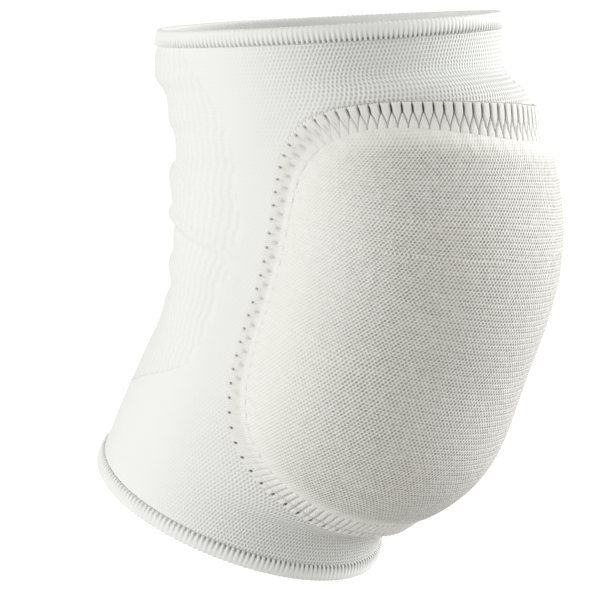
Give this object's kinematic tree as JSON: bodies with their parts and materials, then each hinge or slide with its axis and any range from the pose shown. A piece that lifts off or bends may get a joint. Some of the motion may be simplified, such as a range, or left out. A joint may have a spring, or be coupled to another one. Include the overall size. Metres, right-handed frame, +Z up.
{
  "type": "knee pad",
  "caption": "Pull-on knitted knee pad: bent stretch sleeve with turned hems and a thick domed foam pad held over the kneecap by a stitched border.",
  "frame": {"origin": "middle of the wearer's knee, on the leg's bent axis, inside the hollow of the sleeve", "axes": "+Z up along the leg towards the thigh, the kneecap and the foam pad face -Y, and X runs across the leg: the sleeve mirrors at X = 0, and the pad, as worn, hangs 6.5 mm lower on its +X side"},
  "size_m": [0.1398, 0.2125, 0.241],
  "materials": {
    "sleeve_knit": "white stretch knit, matte",
    "hem_knit": "white ribbed turned hem, matte",
    "pad_cover": "white coarse knit stretched over foam, matte",
    "border_stitch": "white overlock stitching, matte"
  },
  "bodies": {
    "root": {"sleeve": "sleeve_knit", "upper_hem": "hem_knit", "lower_hem": "hem_knit", "knee_pad": "pad_cover", "pad_border": "border_stitch"}
  },
  "joints": []
}
